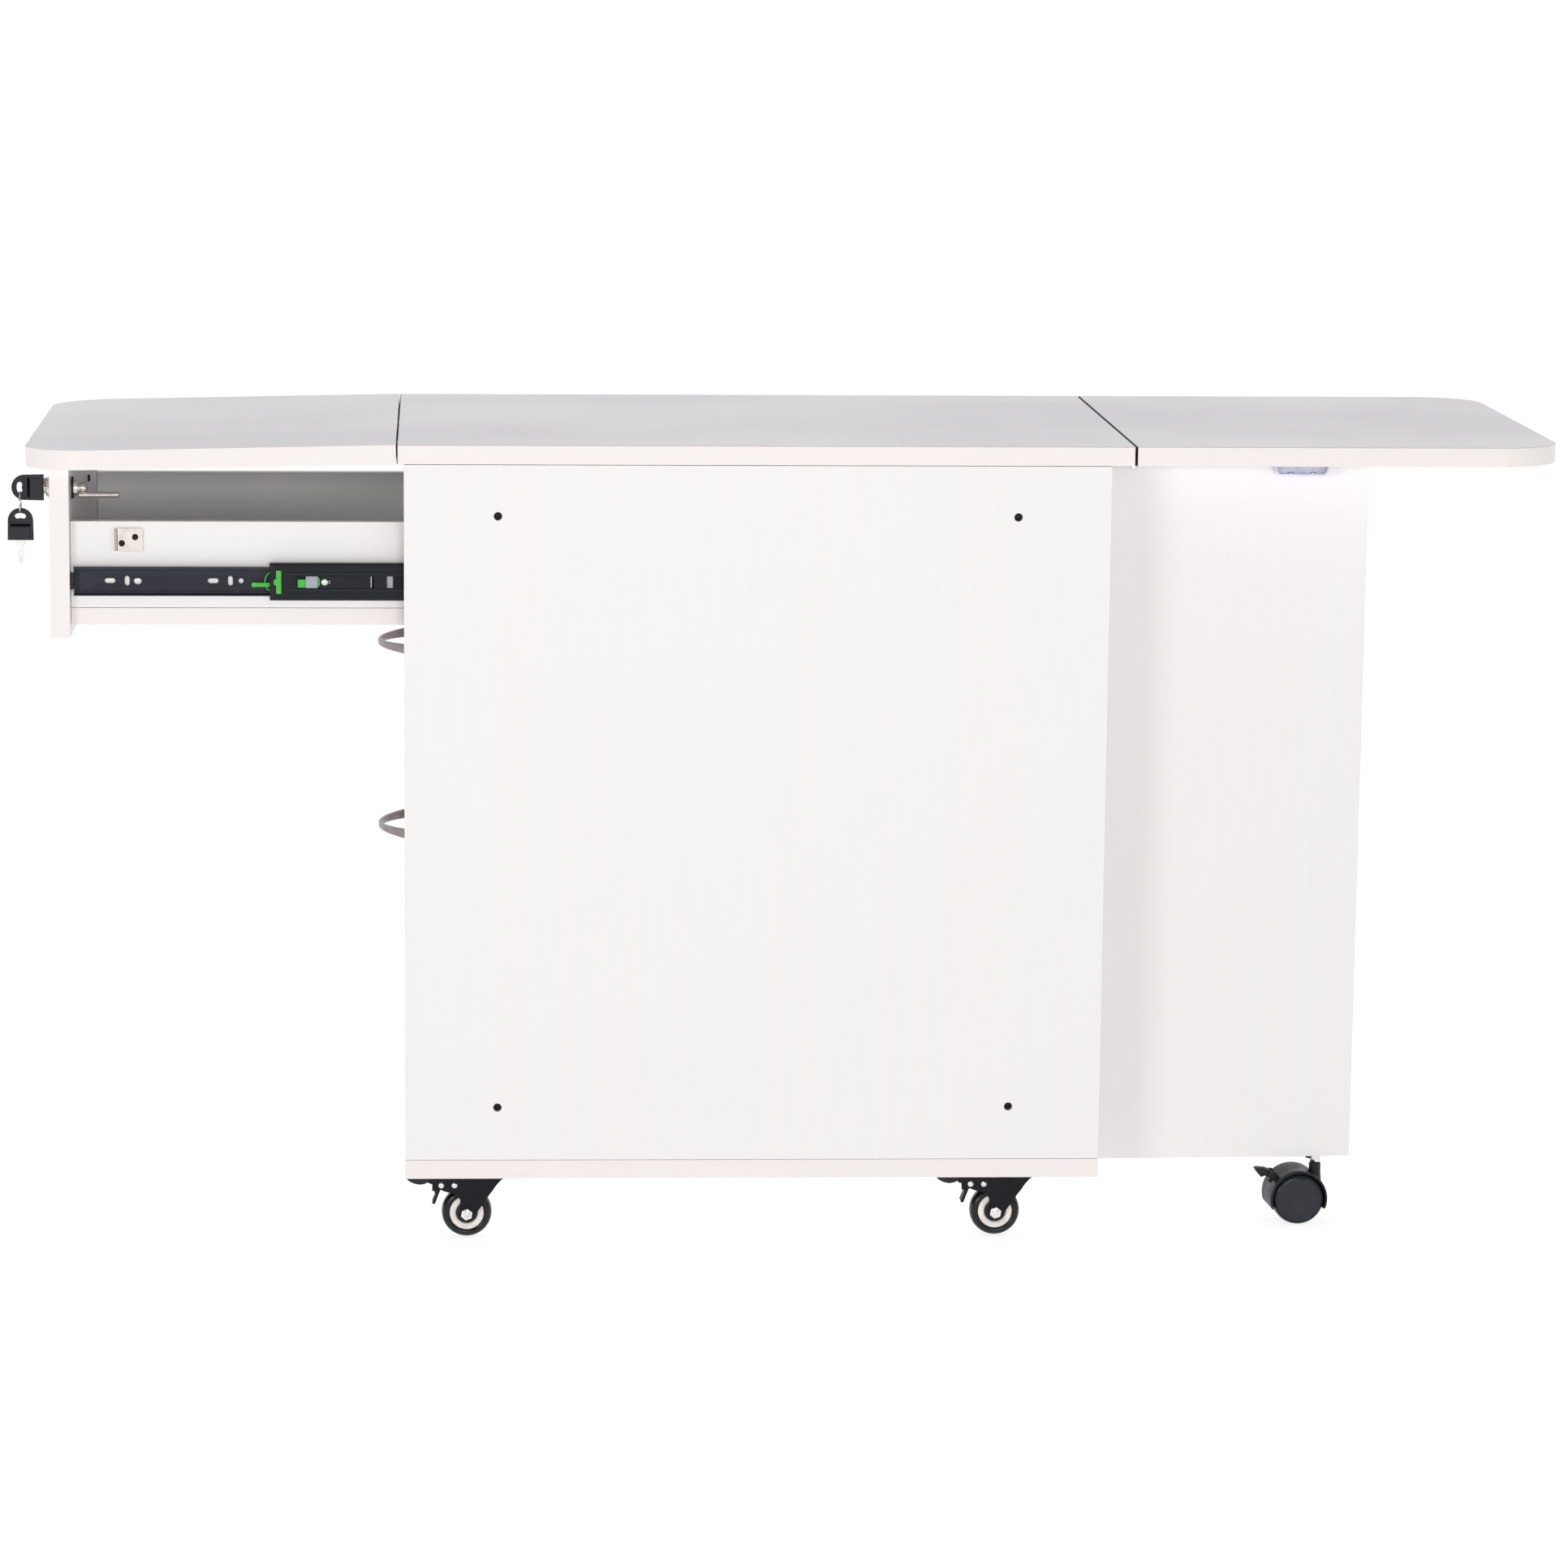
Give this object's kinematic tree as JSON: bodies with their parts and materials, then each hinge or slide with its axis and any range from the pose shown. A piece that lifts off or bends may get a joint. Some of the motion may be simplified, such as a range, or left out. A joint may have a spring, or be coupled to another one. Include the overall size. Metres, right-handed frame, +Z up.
{
  "type": "sewing table",
  "caption": "White sewing table on casters with a drawer cabinet, a flip-over leaf resting on the open top drawer, and a drop leaf held up by a hinged gate.",
  "frame": {"origin": "on the floor under the middle of the whole table: half way along its length and depth", "axes": "+X along the length, from the drawers towards the gate; +Y from the near side panel to the far one; +Z up"},
  "size_m": [1.4537, 0.5, 0.762],
  "materials": {
    "laminate": "white melamine-faced board with a faint upright grain",
    "edged_board": "smooth pale board with a cream edge band",
    "taupe_metal": "satin taupe-grey",
    "nickel": "polished nickel plate",
    "black_steel": "satin black",
    "black_plastic": "fine moulded texture",
    "green_plastic": "moulded",
    "zinc_plate": "zinc plated",
    "tyre": "smooth semi-gloss"
  },
  "bodies": {
    "cabinet": {"base_panel": "edged_board", "near_side_panel": "laminate", "far_side_panel": "laminate", "rear_panel": "laminate", "top_panel": "edged_board", "back_leaf": "edged_board", "back_leaf_hinge_near": "zinc_plate", "back_leaf_hinge_far": "zinc_plate", "gate_stop": "zinc_plate", "gate_hinge_fixed": "zinc_plate", "top_slide_outer_near": "black_steel", "top_slide_outer_far": "black_steel", "middle_slide_outer_near": "black_steel", "middle_slide_outer_far": "black_steel", "bottom_slide_outer_near": "black_steel", "bottom_slide_outer_far": "black_steel"},
    "front_leaf": {"front_leaf": "edged_board"},
    "gate": {"gate_panel": "laminate", "gate_hinge_moving": "zinc_plate"},
    "gate_caster": {"gate_caster_hood": "black_plastic"},
    "gate_caster_wheels": {"gate_caster_wheels": "tyre"},
    "gate_caster_lever": {"gate_caster_lever": "black_plastic"},
    "top_drawer": {"top_drawer_front": "edged_board", "top_drawer_handle": "taupe_metal", "top_drawer_bottom": "laminate", "top_drawer_near_wall": "laminate", "top_drawer_far_wall": "laminate", "top_drawer_back": "laminate", "top_slide_inner_near": "black_steel", "top_slide_inner_far": "black_steel", "lock_cylinder": "nickel"},
    "top_runners": {"top_slide_middle_near": "black_steel", "top_slide_middle_far": "black_steel"},
    "middle_drawer": {"middle_drawer_front": "edged_board", "middle_drawer_handle": "taupe_metal", "middle_drawer_box": "laminate"},
    "middle_runners": {"middle_slide_middle_near": "black_steel", "middle_slide_middle_far": "black_steel"},
    "bottom_drawer": {"bottom_drawer_front": "edged_board", "bottom_drawer_handle": "taupe_metal", "bottom_drawer_box": "laminate"},
    "bottom_runners": {"bottom_slide_middle_near": "black_steel", "bottom_slide_middle_far": "black_steel"},
    "release_lever_near": {"release_lever_near": "green_plastic"},
    "release_lever_far": {"release_lever_far": "green_plastic"},
    "lock_key": {"lock_key": "black_plastic"},
    "spare_key": {"spare_key": "black_plastic"},
    "lock_bar": {"lock_bar": "nickel"},
    "caster_front_near": {"caster_fork_front_near": "black_steel"},
    "caster_wheel_front_near": {"caster_wheel_front_near": "tyre"},
    "caster_brake_front_near": {"caster_brake_front_near": "black_plastic"},
    "caster_front_far": {"caster_fork_front_far": "black_steel"},
    "caster_wheel_front_far": {"caster_wheel_front_far": "tyre"},
    "caster_brake_front_far": {"caster_brake_front_far": "black_plastic"},
    "caster_rear_near": {"caster_fork_rear_near": "black_steel"},
    "caster_wheel_rear_near": {"caster_wheel_rear_near": "tyre"},
    "caster_brake_rear_near": {"caster_brake_rear_near": "black_plastic"},
    "caster_rear_far": {"caster_fork_rear_far": "black_steel"},
    "caster_wheel_rear_far": {"caster_wheel_rear_far": "tyre"},
    "caster_brake_rear_far": {"caster_brake_rear_far": "black_plastic"}
  },
  "joints": [
    {"name": "top_drawer_slide", "type": "slide", "parent": "cabinet", "child": "top_drawer", "axis": [-1, 0, 0], "range_m": [-0.3313, 0]},
    {"name": "top_runner_slide", "type": "slide", "parent": "cabinet", "child": "top_runners", "axis": [-1, 0, 0], "range_m": [-0.16565, 0]},
    {"name": "middle_drawer_slide", "type": "slide", "parent": "cabinet", "child": "middle_drawer", "axis": [-1, 0, 0], "range_m": [0, 0.3313]},
    {"name": "middle_runner_slide", "type": "slide", "parent": "cabinet", "child": "middle_runners", "axis": [-1, 0, 0], "range_m": [0, 0.16565]},
    {"name": "bottom_drawer_slide", "type": "slide", "parent": "cabinet", "child": "bottom_drawer", "axis": [-1, 0, 0], "range_m": [0, 0.3313]},
    {"name": "bottom_runner_slide", "type": "slide", "parent": "cabinet", "child": "bottom_runners", "axis": [-1, 0, 0], "range_m": [0, 0.16565]},
    {"name": "front_leaf_fold", "type": "hinge", "parent": "cabinet", "child": "front_leaf", "pos_m": [-0.3646, 0, 0.7623], "axis": [0, 1, 0], "range_deg": [0, 181.2]},
    {"name": "gate_swing", "type": "hinge", "parent": "cabinet", "child": "gate", "pos_m": [0.3031, -0.1542, 0.4], "axis": [0, 0, 1], "range_deg": [0, 87.7]},
    {"name": "gate_caster_swivel", "type": "hinge", "parent": "gate", "child": "gate_caster", "pos_m": [0.52386, -0.15629, 0.06], "axis": [0, 0, 1], "continuous": true},
    {"name": "gate_caster_roll", "type": "hinge", "parent": "gate_caster", "child": "gate_caster_wheels", "pos_m": [0.5046, -0.15757, 0.025], "axis": [-0.0663, 0.9978, 0], "continuous": true},
    {"name": "gate_caster_brake", "type": "hinge", "parent": "gate_caster", "child": "gate_caster_lever", "pos_m": [0.48116, -0.15913, 0.046], "axis": [-0.0663, 0.9978, 0], "range_deg": [-14, 0]},
    {"name": "caster_swivel_front_near", "type": "hinge", "parent": "cabinet", "child": "caster_front_near", "pos_m": [-0.2813, -0.208, 0.06], "axis": [0, 0, 1], "continuous": true},
    {"name": "caster_roll_front_near", "type": "hinge", "parent": "caster_front_near", "child": "caster_wheel_front_near", "pos_m": [-0.2993, -0.208, 0.024], "axis": [0, 1, 0], "continuous": true},
    {"name": "caster_brake_front_near", "type": "hinge", "parent": "caster_front_near", "child": "caster_brake_front_near", "pos_m": [-0.3101, -0.208, 0.0515], "axis": [0, 1, 0], "range_deg": [-12, 0]},
    {"name": "caster_swivel_front_far", "type": "hinge", "parent": "cabinet", "child": "caster_front_far", "pos_m": [-0.2813, 0.208, 0.06], "axis": [0, 0, 1], "continuous": true},
    {"name": "caster_roll_front_far", "type": "hinge", "parent": "caster_front_far", "child": "caster_wheel_front_far", "pos_m": [-0.2993, 0.208, 0.024], "axis": [0, 1, 0], "continuous": true},
    {"name": "caster_brake_front_far", "type": "hinge", "parent": "caster_front_far", "child": "caster_brake_front_far", "pos_m": [-0.3101, 0.208, 0.0515], "axis": [0, 1, 0], "range_deg": [-12, 0]},
    {"name": "caster_swivel_rear_near", "type": "hinge", "parent": "cabinet", "child": "caster_rear_near", "pos_m": [0.2249, -0.208, 0.06], "axis": [0, 0, 1], "continuous": true},
    {"name": "caster_roll_rear_near", "type": "hinge", "parent": "caster_rear_near", "child": "caster_wheel_rear_near", "pos_m": [0.2069, -0.208, 0.024], "axis": [0, 1, 0], "continuous": true},
    {"name": "caster_brake_rear_near", "type": "hinge", "parent": "caster_rear_near", "child": "caster_brake_rear_near", "pos_m": [0.1961, -0.208, 0.0515], "axis": [0, 1, 0], "range_deg": [-12, 0]},
    {"name": "caster_swivel_rear_far", "type": "hinge", "parent": "cabinet", "child": "caster_rear_far", "pos_m": [0.2249, 0.208, 0.06], "axis": [0, 0, 1], "continuous": true},
    {"name": "caster_roll_rear_far", "type": "hinge", "parent": "caster_rear_far", "child": "caster_wheel_rear_far", "pos_m": [0.2069, 0.208, 0.024], "axis": [0, 1, 0], "continuous": true},
    {"name": "caster_brake_rear_far", "type": "hinge", "parent": "caster_rear_far", "child": "caster_brake_rear_far", "pos_m": [0.1961, 0.208, 0.0515], "axis": [0, 1, 0], "range_deg": [-12, 0]},
    {"name": "lock_key_turn", "type": "hinge", "parent": "top_drawer", "child": "lock_key", "pos_m": [-0.693, -0.205, 0.717], "axis": [-1, 0, 0], "range_deg": [0, 90]},
    {"name": "spare_key_swing", "type": "hinge", "parent": "lock_key", "child": "spare_key", "pos_m": [-0.7151, -0.205, 0.7083], "axis": [-1, 0, 0], "range_deg": [-90, 90]},
    {"name": "lock_bar_lift", "type": "slide", "parent": "cabinet", "child": "lock_bar", "axis": [0, 0, 1], "range_m": [0, 0.012]},
    {"name": "release_lever_near_tilt", "type": "hinge", "parent": "top_drawer", "child": "release_lever_near", "pos_m": [-0.4701, -0.223, 0.6315], "axis": [0, 1, 0], "range_deg": [0, 8], "stiffness_Nm_per_rad": 0.05},
    {"name": "release_lever_far_tilt", "type": "hinge", "parent": "top_drawer", "child": "release_lever_far", "pos_m": [-0.4701, 0.223, 0.6315], "axis": [0, 1, 0], "range_deg": [0, 8], "stiffness_Nm_per_rad": 0.05}
  ],
  "couplings": [
    {"joint": "top_runner_slide", "follows": "top_drawer_slide", "ratio": 0.5},
    {"joint": "middle_runner_slide", "follows": "middle_drawer_slide", "ratio": 0.5},
    {"joint": "bottom_runner_slide", "follows": "bottom_drawer_slide", "ratio": 0.5},
    {"joint": "spare_key_swing", "follows": "lock_key_turn", "ratio": -1}
  ]
}
